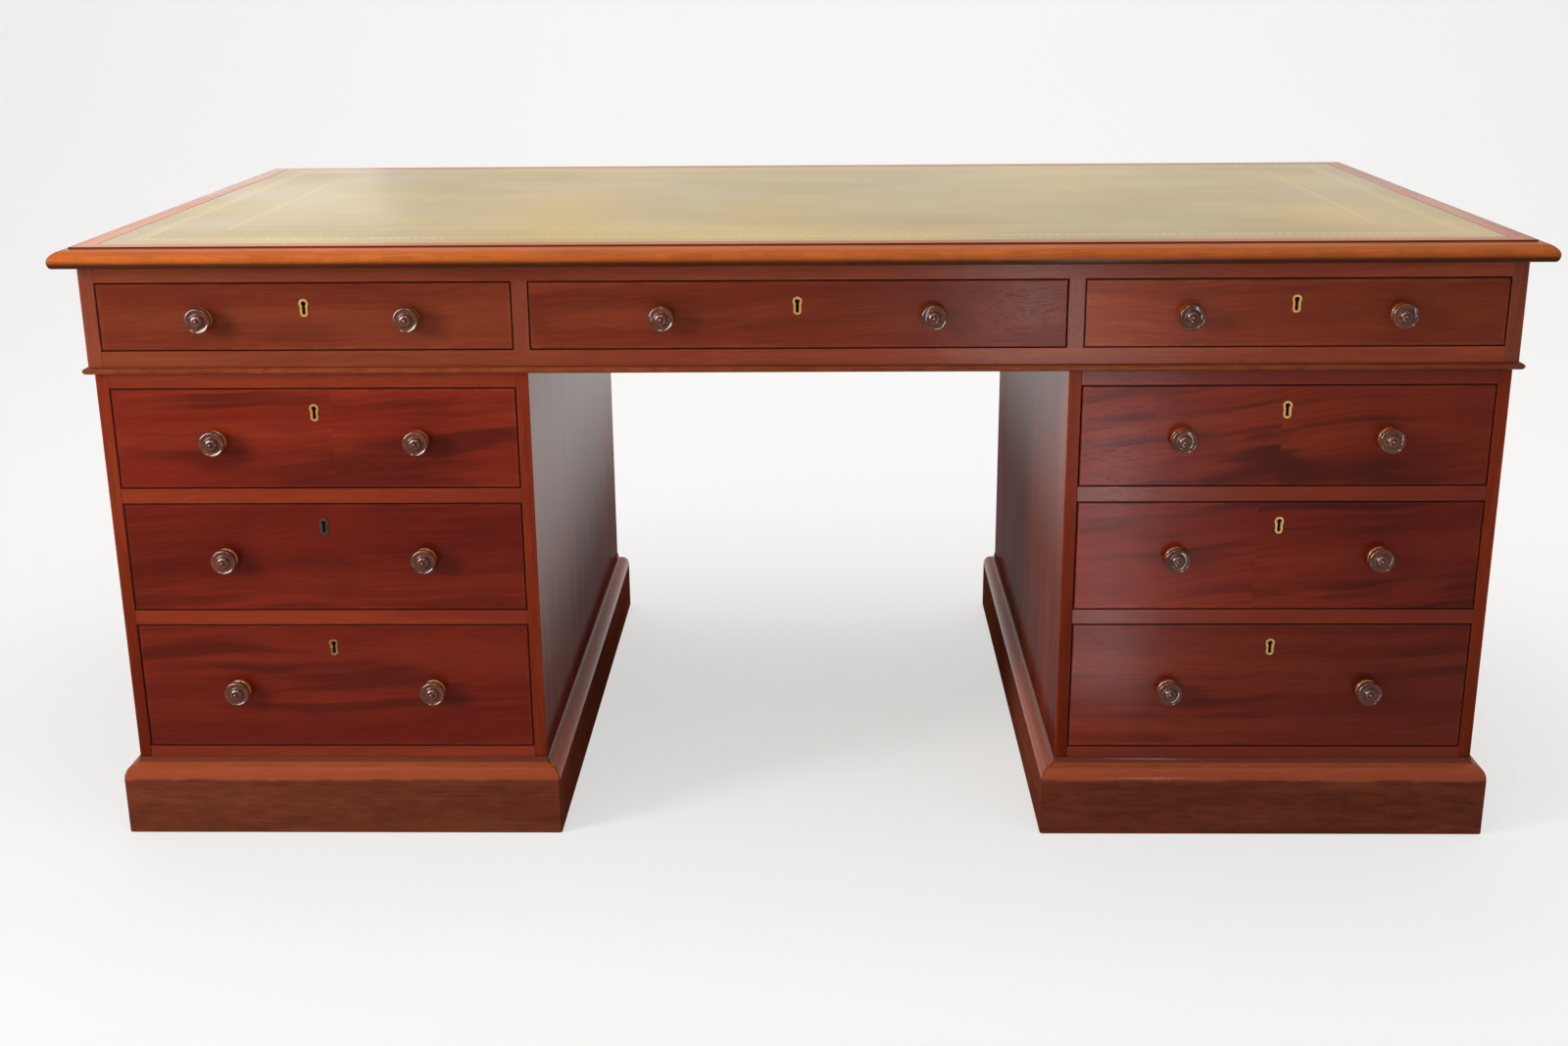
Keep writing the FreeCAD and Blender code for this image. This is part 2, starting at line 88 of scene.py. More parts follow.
def distance_from(tree, value, level):
    """How far a value is from a level, either way."""
    return reckon(tree, "ABSOLUTE", reckon(tree, "SUBTRACT", value, level))


def spread(tree, value, low, high, start=0.0, end=1.0):
    """Eases a value from start at low to end at high."""
    feeds = {"Value": value, "From Min": low, "From Max": high, "To Min": start, "To Max": end}
    return place(tree, "ShaderNodeMapRange", feeds, interpolation_type="SMOOTHSTEP").outputs[0]


def stain(tree, amount, under, over):
    """Lays one colour over another."""
    return place(tree, "ShaderNodeMix", {0: amount, 6: under, 7: over}, data_type="RGBA").outputs[2]


def choose(tree, amount, first, second):
    """Goes from one vector to another."""
    return place(tree, "ShaderNodeMix", {0: amount, 4: first, 5: second}, data_type="VECTOR").outputs[1]


def brighten(tree, colour, amount):
    """Multiplies a colour by a value."""
    return place(tree, "ShaderNodeVectorMath", {0: colour, "Scale": amount}, operation="SCALE").outputs[0]


def cloud(tree, vector, stretch, detail=2.0, roughness=0.5):
    """Soft noise between 0 and 1, with its own frequency along X, Y and Z."""
    stretched = reckon_vector(tree, "MULTIPLY", vector, stretch)
    feeds = {"Vector": stretched, "Scale": 1.0, "Detail": detail, "Roughness": roughness}
    return place(tree, "ShaderNodeTexNoise", feeds).outputs["Fac"]


def new_group(name, inputs, outputs):
    """An empty node group, with the sockets of its input and output nodes."""
    tree = bpy.data.node_groups.new(name, "ShaderNodeTree")
    for label, kind in inputs.items():
        tree.interface.new_socket(label, in_out="INPUT", socket_type=f"NodeSocket{kind}")
    for label, kind in outputs.items():
        tree.interface.new_socket(label, in_out="OUTPUT", socket_type=f"NodeSocket{kind}")
    return tree, place(tree, "NodeGroupInput").outputs, place(tree, "NodeGroupOutput").inputs


def use_group(tree, group, feeds):
    """Puts a node group in a material, and returns what it gives."""
    return place(tree, "ShaderNodeGroup", feeds, node_tree=group).outputs


# Mahogany figure: broad ribbons, patches of dark streaks, fine fibres and open pores, grain along X
tree, given, result = new_group(
    "mahogany grain",
    {
        "Vector": "Vector",
        "Seed": "Float",
        "Dark": "Color",
        "Body": "Color",
        "Light": "Color",
        "Figure": "Float",
    },
    {"Color": "Color", "Roughness": "Float", "Height": "Float"},
)
seed_shares = (3.17, 1.73, 2.39)
wander_per_metre, wander_reach = 3.1, (0.0, 0.05, 0.05)
ribbons_per_metre = (1.3, 17, 17)
streaks_per_metre = (1.7, 44, 44)
patches_per_metre = (3.2, 12, 12)
fibres_per_metre = (9, 380, 380)
pores_per_metre = (70, 1500, 1500)
seeds = [reckon(tree, "MULTIPLY", given["Seed"], share) for share in seed_shares]
plank = reckon_vector(tree, "ADD", given["Vector"], together(tree, *seeds))
feeds = {"Vector": plank, "Scale": wander_per_metre, "Detail": 2.0}
wander = place(tree, "ShaderNodeTexNoise", feeds).outputs["Color"]
wander = reckon_vector(tree, "SUBTRACT", wander, (0.5, 0.5, 0.5))
wander = reckon_vector(tree, "MULTIPLY", wander, wander_reach)
plank = reckon_vector(tree, "ADD", plank, wander)
ribbon = cloud(tree, plank, ribbons_per_metre, 4.0, 0.6)
streak = cloud(tree, plank, streaks_per_metre, 3.0)
patch = cloud(tree, plank, patches_per_metre)
fibre = cloud(tree, plank, fibres_per_metre)
pore = spread(tree, cloud(tree, plank, pores_per_metre, 1.0), 0.58, 0.70)
flame = reckon(tree, "MULTIPLY", spread(tree, patch, 0.40, 0.58), spread(tree, streak, 0.44, 0.62))
colour = stain(tree, spread(tree, ribbon, 0.36, 0.62), given["Light"], given["Body"])
colour = stain(tree, reckon(tree, "MULTIPLY", flame, given["Figure"]), colour, given["Dark"])
colour = brighten(tree, colour, spread(tree, fibre, 0.25, 0.75, 0.88, 1.10))
colour = stain(tree, reckon(tree, "MULTIPLY", pore, 0.4), colour, given["Dark"])
tree.links.new(colour, result["Color"])
rough = reckon(tree, "MULTIPLY_ADD", fibre, 0.06, 0.17)
tree.links.new(reckon(tree, "MULTIPLY_ADD", pore, 0.12, rough), result["Roughness"])
tree.links.new(reckon(tree, "SUBTRACT", fibre, pore), result["Height"])
mahogany_grain = tree

# Mitred frames: turns the grain along each length, and gives the mitre line and the way in from the edge
tree, given, result = new_group(
    "mitred lengths",
    {"Vector": "Vector", "Centre": "Vector", "Half": "Vector"},
    {"Vector": "Vector", "Mitre": "Float", "Inward": "Float"},
)
offset = reckon_vector(tree, "ABSOLUTE", reckon_vector(tree, "SUBTRACT", given["Vector"], given["Centre"]))
inset = apart(tree, reckon_vector(tree, "SUBTRACT", given["Half"], offset))
across = reckon(tree, "SUBTRACT", inset["X"], inset["Y"])
spot = apart(tree, given["Vector"])
turned = together(tree, spot["Y"], spot["X"], spot["Z"])
run = choose(tree, reckon(tree, "GREATER_THAN", across, 0.0), turned, given["Vector"])
tree.links.new(run, result["Vector"])
mitre_line, mitre_blur = 0.0002, 0.0009
mitre = spread(tree, distance_from(tree, across, 0.0), mitre_line, mitre_blur, 1.0, 0.0)
tree.links.new(mitre, result["Mitre"])
tree.links.new(reckon(tree, "MINIMUM", inset["X"], inset["Y"]), result["Inward"])
mitred_lengths = tree

# Age and painted light: the colour is painted lighter on the window side and darker away from it as painted
# window light, edges are painted pale as wear and painted highlight, and dirt and painted shade darken the
# corners
tree, given, result = new_group(
    "aged polish and painted light",
    {
        "Vector": "Vector",
        "Color": "Color",
        "Edge": "Float",
        "Corner": "Float",
        "Rubbed and highlit": "Float",
        "Dirt and shade": "Float",
        "Fade": "Float",
    },
    {"Color": "Color", "Roughness": "Float"},
)
rubbed_and_highlit_width, dirt_and_shade_core, dirt_and_shade_width, desk_end = 0.0035, 0.0004, 0.0028, 0.95
corner_dirt_and_shade = (0.022, 0.008, 0.005)
# Pale along edges: wear, and a painted highlight on the eased arrises
edge = spread(tree, given["Edge"], 0.0, rubbed_and_highlit_width, 1.0, 0.0)
patchy = spread(tree, cloud(tree, given["Vector"], (38, 38, 38), 4.0, 0.6), 0.35, 0.65)
edge = reckon(tree, "MULTIPLY", edge, patchy)
edge = reckon(tree, "MULTIPLY", edge, given["Rubbed and highlit"])
# Dark in the hollows and along the arrises: dirt, and painted shade where parts meet
corner = spread(tree, given["Corner"], dirt_and_shade_core, dirt_and_shade_width, 1.0, 0.0)
corner = reckon(tree, "MULTIPLY", corner, given["Dirt and shade"])
# Painted window light: the colour is brightened towards the left end of the desk and darkened towards the
# right
painted_window_falloff = spread(tree, apart(tree, given["Vector"])["X"], -desk_end, desk_end, 1.0, -1.0)
painted_window_falloff = reckon(tree, "MULTIPLY_ADD", painted_window_falloff, given["Fade"], 1.0)
colour = brighten(tree, given["Color"], painted_window_falloff)
colour = stain(tree, edge, colour, brighten(tree, colour, 2.0))
tree.links.new(stain(tree, corner, colour, corner_dirt_and_shade), result["Color"])
smear = spread(tree, cloud(tree, given["Vector"], (7, 7, 7), 3.0, 0.55), 0.35, 0.70, -0.01, 0.03)
tree.links.new(reckon(tree, "MULTIPLY_ADD", corner, 0.25, smear), result["Roughness"])
polish_age_and_light = tree


def new_material(name, gloss=0.12, coat=0.0):
    """A material with a clear polish, and its tree, shader and Object coordinates."""
    material = bpy.data.materials.new(name)
    material.use_nodes = True
    tree = material.node_tree
    shader = tree.nodes["Principled BSDF"]
    shader.inputs["Specular IOR Level"].default_value = gloss
    shader.inputs["Coat Weight"].default_value = coat
    shader.inputs["Coat Roughness"].default_value = 0.03
    return material, tree, shader, place(tree, "ShaderNodeTexCoord").outputs["Object"]


def grained(tree, run, seed, tones, figure):
    """Mahogany in dark, body and light tones."""
    dark, body, light = tones
    feeds = {"Vector": run, "Seed": seed, "Dark": dark, "Body": body, "Light": light, "Figure": figure}
    return use_group(tree, mahogany_grain, feeds)


def aged_with_painted_light(tree, spot, colour, edge=1.0, corner=1.0, rubbed_and_highlit=0.0, dirt_and_shade=0.0, painted_window_light=0.1):
    """Old polish, with painted window light across the desk. The edge and the corner are distances from an
    arris and from a hollow.
    """
    feeds = {"Vector": spot, "Color": colour, "Edge": edge, "Corner": corner}
    return use_group(tree, polish_age_and_light, {**feeds, "Rubbed and highlit": rubbed_and_highlit, "Dirt and shade": dirt_and_shade, "Fade": painted_window_light})


def measured(tree, group, spot, low, high):
    """A group that works from the middle and the half size of a box."""
    return use_group(tree, group, {"Vector": spot, "Centre": (low + high) / 2, "Half": (high - low) / 2})


def raise_grain(tree, shader, height, strength, depth=0.0004):
    """Feeds a fine relief to the shader."""
    bump = place(tree, "ShaderNodeBump", {"Height": height, "Strength": strength, "Distance": depth})
    tree.links.new(bump.outputs[0], shader.inputs["Normal"])


def polish(tree, shader, wood, worn, colour, relief=0.05, dull=0.0):
    """Sends the grain and the wear to the shader."""
    tree.links.new(colour, shader.inputs["Base Color"])
    rough = reckon(tree, "ADD", wood["Roughness"], worn["Roughness"])
    tree.links.new(reckon(tree, "ADD", rough, dull), shader.inputs["Roughness"])
    raise_grain(tree, shader, wood["Height"], relief)


def quarter(start, corner, end, steps=8):
    """Points of a quarter ellipse from start, rounding a corner, to end."""
    start, corner, end = Vector(start), Vector(corner), Vector(end)
    turns = [math.radians(90) * step / steps for step in range(1, steps + 1)]
    return [
        corner + (start - corner) * (1 - math.sin(turn)) + (end - corner) * (1 - math.cos(turn))
        for turn in turns
    ]


def finished(name, shape, material, sharp=32):
    """Makes an object of a bmesh, smooth except across its sharp edges."""
    mesh = bpy.data.meshes.new(name)
    shape.to_mesh(mesh)
    shape.free()
    mesh.polygons.foreach_set("use_smooth", [True] * len(mesh.polygons))
    mesh.set_sharp_from_angle(angle=math.radians(sharp))
    mesh.materials.append(material)
    piece = bpy.data.objects.new(name, mesh)
    bpy.context.scene.collection.objects.link(piece)
    return piece


def mitred_moulding(outline, low, high):
    """A frame round a box: a loop of four corners is drawn through each (inward, up) point in turn."""
    shape = bmesh.new()
    middle, half = (low + high) / 2, (high - low) / 2
    plan = ((low.x, low.y), (high.x, low.y), (high.x, high.y), (low.x, high.y))
    corners = [shape.verts.new((x, y, low.z)) for x, y in plan]
    first = ring = [shape.edges.new((corners[turn - 1], corners[turn])) for turn in range(4)]
    for number, (inward, up) in enumerate(outline):
        if number:
            drawn = bmesh.ops.extrude_edge_only(shape, edges=ring)["geom"]
            corners = [part for part in drawn if isinstance(part, bmesh.types.BMVert)]
            ring = [part for part in drawn if isinstance(part, bmesh.types.BMEdge)]
        for corner in corners:
            corner.co.x = middle.x + math.copysign(half.x - inward, corner.co.x - middle.x)
            corner.co.y = middle.y + math.copysign(half.y - inward, corner.co.y - middle.y)
            corner.co.z = low.z + up
    bmesh.ops.bridge_loops(shape, edges=[*first, *ring])
    bmesh.ops.recalc_face_normals(shape, faces=shape.faces[:])
    return shape


mitre_dirt = (0.03, 0.010, 0.006)
plinth_board, ovolo_top, plinth_top = 0.077, 0.094, 0.103
ovolo_reach, cove_reach, plinth_thick = 0.012, 0.017, 0.0185
foot_ease, corner_ease = 0.0008, 0.0025
plinth_outline = [(foot_ease, 0), (0, foot_ease), (0, plinth_board)]
plinth_outline += quarter((0, plinth_board), (0, ovolo_top), (ovolo_reach, ovolo_top), 10)
plinth_outline += quarter((ovolo_reach, ovolo_top), (cove_reach, ovolo_top), (cove_reach, plinth_top), 7)
plinth_outline += [(plinth_thick, plinth_top), (plinth_thick, 0)]
outer_depth = (cove_reach + plinth_thick) / 2
moulding_from, moulding_to = plinth_board - 0.001, plinth_board + 0.003
scuffed_to, unscuffed_from = 0.01, 0.06
highlit_shoulder, cove_hollow = 0.0105, 0.0165
plinth_tones = (0.068, 0.018, 0.010), (0.124, 0.030, 0.015), (0.163, 0.041, 0.019)
moulding_red, scuffed_brown = (0.33, 0.055, 0.009), (0.17, 0.075, 0.045)
for side, seed in (("left", 1.3), ("right", 2.9)):
    low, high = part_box(f"pedestal_{side}_plinth")
    material, tree, shader, spot = new_material(f"{side} plinth mahogany", 0.0)
    shader.inputs["Coat IOR"].default_value = 1.25
    shader.inputs["Coat Roughness"].default_value = 0.12
    length = measured(tree, mitred_lengths, spot, low, high)
    height = apart(tree, spot)["Z"]
    wood = grained(tree, length["Vector"], seed, plinth_tones, 0.35)
    # The moulding is a lighter copy of the board's wood: polish, and partly painted light on its upturned
    # faces
    moulded = stain(tree, 0.5, brighten(tree, wood["Color"], 1.75), moulding_red)
    over_board = spread(tree, height, moulding_from, moulding_to)
    colour = stain(tree, over_board, wood["Color"], moulded)
    mottle = spread(tree, cloud(tree, spot, (30, 30, 90), 4.0, 0.6), 0.30, 0.70, 0.84, 1.10)
    colour = stain(tree, over_board, brighten(tree, colour, mottle), colour)
    scuff = spread(tree, cloud(tree, spot, (6, 6, 40), 5.0, 0.7), 0.55, 0.75)
    low_down = spread(tree, height, scuffed_to, unscuffed_from, 0.4, 0.0)
    scuff = reckon(tree, "MULTIPLY", scuff, low_down)
    colour = stain(tree, scuff, colour, scuffed_brown)
    board_arris = distance_from(tree, height, plinth_board)
    # A pale line along the ovolo's shoulder is a painted highlight
    shoulder = distance_from(tree, length["Inward"], highlit_shoulder)
    arris = reckon(tree, "MINIMUM", board_arris, reckon(tree, "MULTIPLY", shoulder, 1.6))
    # Dark in the hollow of the cove: dirt and painted shade
    cove = distance_from(tree, length["Inward"], cove_hollow)
    worn = aged_with_painted_light(tree, spot, colour, arris, cove, 0.5, 0.6)
    colour = stain(tree, length["Mitre"], worn["Color"], mitre_dirt)
    polish(tree, shader, wood, worn, colour, 0.12)
    tree.links.new(reckon(tree, "MULTIPLY", over_board, 0.6), shader.inputs["Coat Weight"])
    shape = mitred_moulding(plinth_outline, low, high)
    middle_x = (low.x + high.x) / 2
    outside = {vert for vert in shape.verts if abs(vert.co.x - middle_x) > high.x - middle_x - outer_depth}
    corners = [edge for edge in shape.edges if outside.issuperset(edge.verts)]
    corners = [edge for edge in corners if edge.calc_length() < plinth_top]
    bmesh.ops.bevel(
        shape, geom=corners, offset=corner_ease, segments=4, profile=0.5, affect="EDGES", material=-1
    )
    plinth = finished(f"{side}_plinth", shape, material)
    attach(plinth, "carcase")
    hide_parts(f"pedestal_{side}_plinth")


# Pedestal cases
# Two polished sides and a polished back make each case, with their grain upright.
# The sides' front edges show as the stiles beside the drawers, and their arrises are eased.
# The polish is bright at the top and worn dull towards the floor, and the colour is painted darker towards
# the floor as painted shade.


def along_grain(tree, vector, axis):
    """Coordinates turned so that the grain runs along X, Y or Z."""
    spot = apart(tree, vector)
    order = {"X": "XYZ", "Y": "YXZ", "Z": "ZXY"}[axis]
    return together(tree, *(spot[letter] for letter in order))


# Boards: how far a spot on a board's face is from the nearest arris of that face
tree, given, result = new_group(
    "arris distance", {"Vector": "Vector", "Centre": "Vector", "Half": "Vector"}, {"Distance": "Float"}
)
offset = reckon_vector(tree, "ABSOLUTE", reckon_vector(tree, "SUBTRACT", given["Vector"], given["Centre"]))
inset = apart(tree, reckon_vector(tree, "SUBTRACT", given["Half"], offset))
least = reckon(tree, "MINIMUM", reckon(tree, "MINIMUM", inset["X"], inset["Y"]), inset["Z"])
most = reckon(tree, "MAXIMUM", reckon(tree, "MAXIMUM", inset["X"], inset["Y"]), inset["Z"])
total = reckon(tree, "ADD", reckon(tree, "ADD", inset["X"], inset["Y"]), inset["Z"])
middle = reckon(tree, "SUBTRACT", reckon(tree, "SUBTRACT", total, least), most)
tree.links.new(middle, result["Distance"])
arris_distance = tree


def finish_node(name, material):
    """Gives a carried-over board its finish."""
    mesh = nodes[name].data
    mesh.materials.clear()
    mesh.materials.append(material)


case_tones = (0.070, 0.009, 0.004), (0.150, 0.018, 0.006), (0.205, 0.030, 0.010)

# Seed, the heights where the polish is dullest and brightest, and its greatest strength, in each case
case_polish = {"left": (4.1, 0.15, 0.56, 1.0), "right": (5.6, 0.30, 0.68, 0.75)}
case_foot, shade_painted_darkest_at, shade_painted_lightest_at = 0.1035, 0.10, 0.60
for side, (seed, dulled_to, bright_from, brightest) in case_polish.items():
    low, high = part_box(f"pedestal_{side}_case")
    material, tree, shader, spot = new_material(f"{side} pedestal mahogany", 0.0)
    shader.inputs["Coat IOR"].default_value = 1.11
    shader.inputs["Coat Roughness"].default_value = 0.12
    wood = grained(tree, along_grain(tree, spot, "Z"), seed, case_tones, 0.35)
    arris = measured(tree, arris_distance, spot, low, high)["Distance"]
    height = apart(tree, spot)["Z"]
    # Painted shade: the colour is darkened towards the floor and lightened higher up
    colour = brighten(tree, wood["Color"], spread(tree, height, shade_painted_darkest_at, shade_painted_lightest_at, 0.75, 1.1))
    plinth_line = distance_from(tree, height, case_foot)
    worn = aged_with_painted_light(tree, spot, colour, arris, plinth_line, 0.45, 0.5)
    polish(tree, shader, wood, worn, worn["Color"], 0.004)
    sheen = spread(tree, height, dulled_to, bright_from, 0.12, brightest)
    tree.links.new(sheen, shader.inputs["Coat Weight"])
    finish_node(f"pedestal_{side}_case", material)


# Drawer rails
# Plain mahogany rails divide the drawers, with a pocket above each drawer for the bolt of its lock.
# Straight grain runs along the rail. Those of the pedestals are redder, and those of the frieze browner.
# The first number is how strongly painted window light changes the rails' colour from left to right
rail_tones = {
    "pedestal": (0.15, (0.095, 0.009, 0.003), (0.158, 0.016, 0.004), (0.205, 0.026, 0.006)),
    "frieze": (-0.15, (0.110, 0.016, 0.006), (0.208, 0.034, 0.011), (0.268, 0.053, 0.017)),
}
for section, (painted_window_light, *tones) in rail_tones.items():
    material, tree, shader, spot = new_material(f"{section} rail mahogany", 0.12)
    wood = grained(tree, spot, 7.7, tones, 0.2)
    worn = aged_with_painted_light(tree, spot, wood["Color"], painted_window_light=painted_window_light)
    polish(tree, shader, wood, worn, worn["Color"])
    finish_node(f"{section}_rails", material)


# Inside boards of the pedestals
# Plain pine boards close the top and bottom of each case. Drawer runners, kickers and stops are pine too.
# All are left bare, with oak dowels standing in the joint between the sections.
dust_grey = (0.36, 0.30, 0.23)


def bare_wood(name, axis, tones, seed, dusty=0.5):
    """Planed wood with no polish: dull, with raised fibres and a grey bloom of dust."""
    material, tree, shader, spot = new_material(name)
    facing = apart(tree, place(tree, "ShaderNodeNewGeometry").outputs["Normal"])
    end_on = reckon(tree, "GREATER_THAN", reckon(tree, "ABSOLUTE", facing[axis]), 0.7)
    other = {"X": "Z", "Y": "X", "Z": "X"}[axis]
    run = choose(tree, end_on, along_grain(tree, spot, axis), along_grain(tree, spot, other))
    wood = grained(tree, run, seed, tones, 0.45)
    dust = spread(tree, cloud(tree, spot, (9, 9, 9), 4.0, 0.6), 0.40, 0.75, 0.0, 0.35 * dusty)
    colour = stain(tree, dust, wood["Color"], dust_grey)
    tree.links.new(colour, shader.inputs["Base Color"])
    tree.links.new(reckon(tree, "ADD", wood["Roughness"], 0.38), shader.inputs["Roughness"])
    raise_grain(tree, shader, wood["Height"], 0.25)
    return material


pine = (0.24, 0.13, 0.06), (0.42, 0.26, 0.13), (0.52, 0.35, 0.19)
oak = (0.20, 0.115, 0.050), (0.36, 0.225, 0.110), (0.46, 0.305, 0.160)
finish_node("pedestal_boards", bare_wood("case pine", "X", pine, 11.2))
runner_pine = bare_wood("runner pine", "Y", pine, 12.5, 1.0)
finish_node("drawer_runners", runner_pine)
finish_node("drawer_stops", runner_pine)
finish_node("locating_dowels", bare_wood("dowel oak", "Z", oak, 13.1))


# Frieze case
# The ends, back and partitions of the frieze, all mahogany. Grain runs along the ends and the back,
# and upright on the front edges that stand between the drawers.
low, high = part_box("frieze_case")
material, tree, shader, spot = new_material("frieze mahogany")
facing = apart(tree, place(tree, "ShaderNodeNewGeometry").outputs["Normal"])
on_end = reckon(tree, "GREATER_THAN", reckon(tree, "ABSOLUTE", facing["X"]), 0.7)
on_front = reckon(tree, "LESS_THAN", facing["Y"], -0.7)
run = choose(tree, on_end, spot, along_grain(tree, spot, "Y"))
run = choose(tree, on_front, run, along_grain(tree, spot, "Z"))
tones = (0.090, 0.016, 0.008), (0.185, 0.036, 0.016), (0.250, 0.055, 0.024)
wood = grained(tree, run, 9.4, tones, 0.3)
arris = measured(tree, arris_distance, spot, low, high)["Distance"]
worn = aged_with_painted_light(tree, spot, wood["Color"], arris, rubbed_and_highlit=0.4)
polish(tree, shader, wood, worn, worn["Color"])
finish_node("frieze_case", material)


# Bead
# A half-round mahogany bead is planted round the foot of the frieze, where it meets the pedestals.
# Its round is painted pale as wear and painted highlight, and dirt lies in the quirk against the frieze.
low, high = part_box("frieze_bead")
bead_reach, bead_height = 0.006, 0.009
bead_outline = [(bead_reach, 0), *quarter((bead_reach, 0), (0, 0), (0, bead_height / 2), 6)]
bead_outline += quarter((0, bead_height / 2), (0, bead_height), (bead_reach, bead_height), 6)
material, tree, shader, spot = new_material("bead mahogany", 0.05)
length = measured(tree, mitred_lengths, spot, low, high)
tones = (0.08, 0.014, 0.005), (0.15, 0.029, 0.009), (0.20, 0.043, 0.013)
wood = grained(tree, length["Vector"], 15.2, tones, 0.25)
quirk = reckon(tree, "SUBTRACT", bead_reach, length["Inward"])
worn = aged_with_painted_light(tree, spot, wood["Color"], length["Inward"], quirk, 0.35, 0.75)
polish(tree, shader, wood, worn, stain(tree, length["Mitre"], worn["Color"], mitre_dirt))
bead = finished("frieze_bead_moulding", mitred_moulding(bead_outline, low, high), material, 50)
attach(bead, "carcase")
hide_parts("frieze_bead")


# Top: ground panel and moulded edge
# A pine ground carries the leather. Its mahogany frame has mitred corners, a thumb moulding under a small
# quirk, and a flat band inside it. The edge is the brightest wood on the desk, partly as painted light on its
# upturned faces, and its lower part is painted dark as painted shade.
finish_node("top_panel", bare_wood("ground pine", "X", pine, 17.3, 0.8))

low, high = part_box("top_edge_moulding")
thick = high.z - low.z
frame_width, thumb_reach, quirk_depth, ease = 0.047, 0.021, 0.002, 0.0008
under_reach, under_height = 0.005, 0.0085
thumb_top = thick - quirk_depth
edge_outline = [(frame_width, 0), (under_reach, 0)]
edge_outline += quarter((under_reach, 0), (0, 0), (0, under_height), 7)
edge_outline += quarter((0, under_height), (0, thumb_top), (thumb_reach, thumb_top), 12)
edge_outline += [(thumb_reach, thick - ease)]
edge_outline += quarter((thumb_reach, thick - ease), (thumb_reach, thick), (thumb_reach + ease, thick), 3)
edge_outline += [(frame_width - ease, thick), (frame_width, thick - ease)]
shade_from, shade_to, nose_rub, quirk_dirt = 0.004, 0.0105, 0.002, 0.0003
material, tree, shader, spot = new_material("top edge mahogany", 0.06)
length = measured(tree, mitred_lengths, spot, low, high)
# Bright tones, partly painted light on the edge's upturned faces
tones = (0.21, 0.040, 0.008), (0.37, 0.082, 0.014), (0.45, 0.114, 0.022)
wood = grained(tree, length["Vector"], 19.9, tones, 0.35)
height = apart(tree, spot)["Z"]
# Painted shade: the lower part of the moulding is darkened towards its underside
shade = spread(tree, height, low.z + shade_from, low.z + shade_to, 0.14, 1.0)
colour = brighten(tree, wood["Color"], shade)
nose = distance_from(tree, length["Inward"], nose_rub)
quirk = distance_from(tree, length["Inward"], thumb_reach - quirk_dirt)
worn = aged_with_painted_light(tree, spot, colour, nose, quirk, 0.25, 0.7)
polish(tree, shader, wood, worn, stain(tree, length["Mitre"], worn["Color"], mitre_dirt))
edge_frame = finished("top_edge_frame", mitred_moulding(edge_outline, low, high), material)
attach(edge_frame, "carcase")
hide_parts("top_edge_moulding")


# Writing leather
# One hide, olive tan and glazed, is pasted on the ground and turned into the groove inside the frame.
# Two borders are tooled in gold: a band of small lozenges between fillets, and a finer line inside it.
low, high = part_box("writing_leather")
shape = bmesh.new()
bmesh.ops.create_cube(shape, size=1.0)
leather_gap, turned_edge = 0.0006, 0.0011
bmesh.ops.scale(shape, vec=high - low - Vector((leather_gap, leather_gap, 0)), verts=shape.verts[:])
bmesh.ops.translate(shape, vec=(low + high) / 2, verts=shape.verts[:])
rim = [edge for edge in shape.edges if all(vert.co.z > (low.z + high.z) / 2 for vert in edge.verts)]
bmesh.ops.bevel(shape, geom=rim, offset=turned_edge, segments=4, profile=0.5, affect="EDGES", material=-1)
olive_tan, light_tan, worn_tan = (0.320, 0.222, 0.066), (0.440, 0.298, 0.086), (0.330, 0.245, 0.125)
gold_leaf = (0.62, 0.44, 0.15)
material, tree, shader, spot = new_material("tooled leather", 0.3)
shader.inputs["IOR"].default_value = 1.42
hide = spread(tree, cloud(tree, spot, (2.3, 3.7, 2.3), 2.0), 0.3, 0.7)
colour = stain(tree, hide, olive_tan, light_tan)
worn_patch = spread(tree, cloud(tree, spot, (1.9, 0.8, 1.0), 3.0), 0.42, 0.64, 0.0, 0.7)
colour = stain(tree, worn_patch, colour, worn_tan)
pebble = cloud(tree, spot, (420, 420, 420))
colour = brighten(tree, colour, spread(tree, pebble, 0.3, 0.7, 0.975, 1.02))
border = measured(tree, mitred_lengths, spot, low, high)
band_inset, band_half, inner_inset, double_gap = 0.038, 0.007, 0.124, 0.004
lozenge_pitch, lozenge_core, lozenge_half = 0.011, 0.0036, 0.0046
fillet_width, fine_width = 0.0016, 0.0008
along = reckon(tree, "FRACT", reckon(tree, "DIVIDE", apart(tree, border["Vector"])["X"], lozenge_pitch))
along = reckon(tree, "MULTIPLY", distance_from(tree, along, 0.5), lozenge_pitch)
lozenge = reckon(tree, "ADD", along, distance_from(tree, border["Inward"], band_inset))
gilt = spread(tree, lozenge, lozenge_core, lozenge_half, 1.0, 0.0)
for line, width in (
    (band_inset - band_half, fillet_width),
    (band_inset + band_half, fillet_width),
    (inner_inset, fillet_width),
    (inner_inset + double_gap, fine_width),
):
    stamped = distance_from(tree, border["Inward"], line)
    gilt = reckon(tree, "MAXIMUM", gilt, spread(tree, stamped, width * 0.35, width * 0.65, 1.0, 0.0))
kept = spread(tree, cloud(tree, spot, (26, 26, 26), 5.0, 0.65), 0.34, 0.52, 0.25, 0.9)
gold = reckon(tree, "MULTIPLY", gilt, kept)
tree.links.new(stain(tree, gold, colour, gold_leaf), shader.inputs["Base Color"])
tree.links.new(reckon(tree, "MULTIPLY", gold, 0.75), shader.inputs["Metallic"])
smear = spread(tree, cloud(tree, spot, (5, 5, 5)), 0.3, 0.7, 0.29, 0.35)
tree.links.new(smear, shader.inputs["Roughness"])
